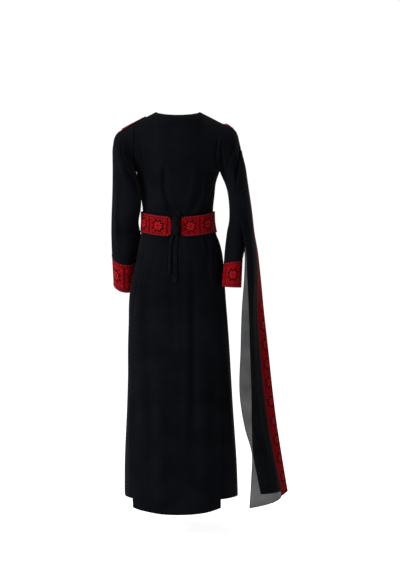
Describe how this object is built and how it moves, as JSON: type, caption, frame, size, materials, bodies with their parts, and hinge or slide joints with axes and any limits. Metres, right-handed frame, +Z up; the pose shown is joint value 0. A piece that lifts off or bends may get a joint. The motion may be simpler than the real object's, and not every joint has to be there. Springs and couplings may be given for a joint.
{
  "type": "palestinian thobe dress",
  "caption": "Floor-length long-sleeved black dress in its worn form, with red embroidered cuffs, tied waist belt and shoulder band, and a bordered veil hanging from the right shoulder.",
  "frame": {"origin": "on the centre line at the top of the shoulders beside the neck, where the wearer holds the dress up", "axes": "+Z up, -Y out of the back of the dress, +Y out of its front, +X to the wearer's right"},
  "size_m": [0.6397, 0.3301, 1.4241],
  "materials": {
    "black_crepe": "matte black crepe with a fine pebbled weave",
    "tie_tape": "soft matte black tape",
    "black_chiffon": "sheer black chiffon",
    "red_embroidery": "red cross-stitch embroidery with black outlines"
  },
  "bodies": {
    "root": {"bodice_back": "black_crepe", "bodice_front": "black_crepe", "skirt_back": "black_crepe", "skirt_front": "black_crepe", "sleeve_left": "black_crepe", "sleeve_right": "black_crepe", "cuff_left": "red_embroidery", "cuff_right": "red_embroidery", "belt_band": "red_embroidery", "shoulder_band_left": "red_embroidery", "tie_knot": "tie_tape", "tie_loop": "tie_tape", "tie_tail_left": "tie_tape", "tie_tail_right": "tie_tape", "veil_sheer": "black_chiffon", "veil_folded": "black_chiffon", "veil_border": "red_embroidery"}
  },
  "joints": []
}
